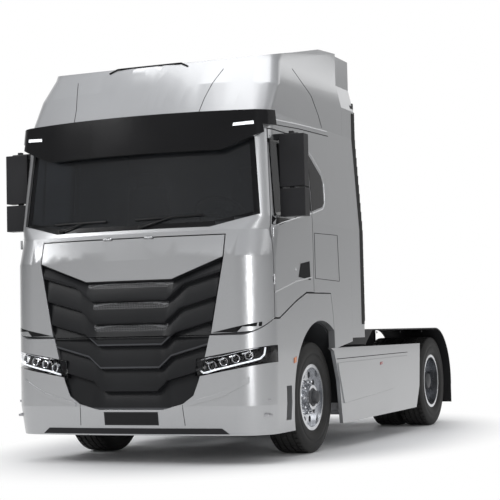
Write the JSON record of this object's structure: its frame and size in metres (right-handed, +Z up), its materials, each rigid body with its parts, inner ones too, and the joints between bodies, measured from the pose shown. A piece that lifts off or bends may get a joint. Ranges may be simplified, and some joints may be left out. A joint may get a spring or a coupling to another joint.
{
  "type": "two-axle cab-over semi truck tractor unit",
  "caption": "High-roof sleeper tractor unit with tilting cab, steered front wheels, twin rear wheels and a rocking fifth wheel.",
  "frame": {"origin": "on the ground, midway along and across the whole vehicle", "axes": "the truck faces -Y, +X is its own left, +Z is up"},
  "size_m": [2.99, 6.1, 3.8369],
  "materials": {
    "silver_paint": "metallic silver paint",
    "black_plastic": "grained black plastic",
    "gloss_black": "gloss black",
    "window_glass": "tinted glass",
    "lamp_glass": "clear lamp cover",
    "tyre_rubber": "black tyre rubber",
    "polished_wheel": "polished",
    "frame_paint": "satin dark grey paint",
    "cast_parts": "painted casting",
    "tank_metal": "brushed aluminium",
    "seat_fabric": "dark woven fabric",
    "trim_plastic": "dark grey interior plastic"
  },
  "bodies": {
    "chassis": {"frame": "frame_paint", "engine": "cast_parts", "front_axle": "cast_parts", "front_springs": "frame_paint", "rear_axle": "cast_parts", "rear_suspension": "frame_paint", "drive_shaft": "frame_paint", "tanks": "tank_metal", "side_skirts": "silver_paint", "mudguards": "black_plastic", "deck": "tank_metal", "coupling_base": "frame_paint", "headlamps": "lamp_glass", "grille_lower": "black_plastic", "bumper": "silver_paint", "arch_liners": "black_plastic"},
    "cab": {"cab_frame": "silver_paint", "cab_floor": "trim_plastic", "roof": "silver_paint", "side_fairings": "silver_paint", "corner_panels": "silver_paint", "windscreen": "window_glass", "sun_visor": "gloss_black", "dashboard": "trim_plastic", "seats": "seat_fabric", "bunk": "seat_fabric"},
    "front_flap": {"front_panel": "silver_paint", "grille_upper": "black_plastic"},
    "left_door": {"door_left": "silver_paint", "door_glass_left": "window_glass", "mirror_left": "black_plastic"},
    "right_door": {"door_right": "silver_paint", "door_glass_right": "window_glass", "mirror_right": "black_plastic"},
    "steering_wheel": {"steering_wheel": "trim_plastic"},
    "left_knuckle": {"knuckle_left": "cast_parts"},
    "right_knuckle": {"knuckle_right": "cast_parts"},
    "track_rod": {"track_rod": "frame_paint"},
    "coupling": {"coupling_plate": "cast_parts"},
    "front_left_wheel": {"front_tyre_left": "tyre_rubber", "front_wheel_left": "polished_wheel"},
    "front_right_wheel": {"front_tyre_right": "tyre_rubber", "front_wheel_right": "polished_wheel"},
    "rear_left_wheels": {"rear_tyres_left": "tyre_rubber", "rear_wheels_left": "polished_wheel"},
    "rear_right_wheels": {"rear_tyres_right": "tyre_rubber", "rear_wheels_right": "polished_wheel"}
  },
  "joints": [
    {"name": "cab_tilt", "type": "hinge", "parent": "chassis", "child": "cab", "pos_m": [0, -2.95, 0.95], "axis": [1, 0, 0], "range_deg": [0, 60]},
    {"name": "front_flap_hinge", "type": "hinge", "parent": "cab", "child": "front_flap", "pos_m": [0, -3.03, 1.95], "axis": [-1, 0, 0], "range_deg": [0, 75]},
    {"name": "left_door_hinge", "type": "hinge", "parent": "cab", "child": "left_door", "pos_m": [1.25, -2.755, 1.6], "axis": [0, 0, -1], "range_deg": [0, 75]},
    {"name": "right_door_hinge", "type": "hinge", "parent": "cab", "child": "right_door", "pos_m": [-1.25, -2.755, 1.6], "axis": [0, 0, 1], "range_deg": [0, 75]},
    {"name": "left_steer", "type": "hinge", "parent": "chassis", "child": "left_knuckle", "pos_m": [0.89, -1.65, 0.507], "axis": [0, 0, 1], "range_deg": [-40, 40]},
    {"name": "right_steer", "type": "hinge", "parent": "chassis", "child": "right_knuckle", "pos_m": [-0.89, -1.65, 0.507], "axis": [0, 0, 1], "range_deg": [-40, 40]},
    {"name": "track_rod_pin", "type": "hinge", "parent": "left_knuckle", "child": "track_rod", "pos_m": [0.89, -1.45, 0.454], "axis": [0, 0, 1], "range_deg": [-40, 40]},
    {"name": "steering_wheel_turn", "type": "hinge", "parent": "cab", "child": "steering_wheel", "pos_m": [0.56, -2.3, 2.19], "axis": [0, 0.5736, 0.8192], "range_deg": [-720, 720]},
    {"name": "front_left_wheel_spin", "type": "hinge", "parent": "left_knuckle", "child": "front_left_wheel", "pos_m": [1.008, -1.65, 0.507], "axis": [1, 0, 0], "continuous": true},
    {"name": "front_right_wheel_spin", "type": "hinge", "parent": "right_knuckle", "child": "front_right_wheel", "pos_m": [-1.008, -1.65, 0.507], "axis": [1, 0, 0], "continuous": true},
    {"name": "rear_left_wheel_spin", "type": "hinge", "parent": "chassis", "child": "rear_left_wheels", "pos_m": [0.87, 2.15, 0.507], "axis": [1, 0, 0], "continuous": true},
    {"name": "rear_right_wheel_spin", "type": "hinge", "parent": "chassis", "child": "rear_right_wheels", "pos_m": [-0.87, 2.15, 0.507], "axis": [1, 0, 0], "continuous": true},
    {"name": "coupling_rock", "type": "hinge", "parent": "chassis", "child": "coupling", "pos_m": [0, 1.59, 1.04], "axis": [1, 0, 0], "range_deg": [-12, 12]}
  ],
  "couplings": [
    {"joint": "right_steer", "follows": "left_steer", "ratio": 1},
    {"joint": "track_rod_pin", "follows": "left_steer", "ratio": -1},
    {"joint": "steering_wheel_turn", "follows": "left_steer", "ratio": 18}
  ]
}
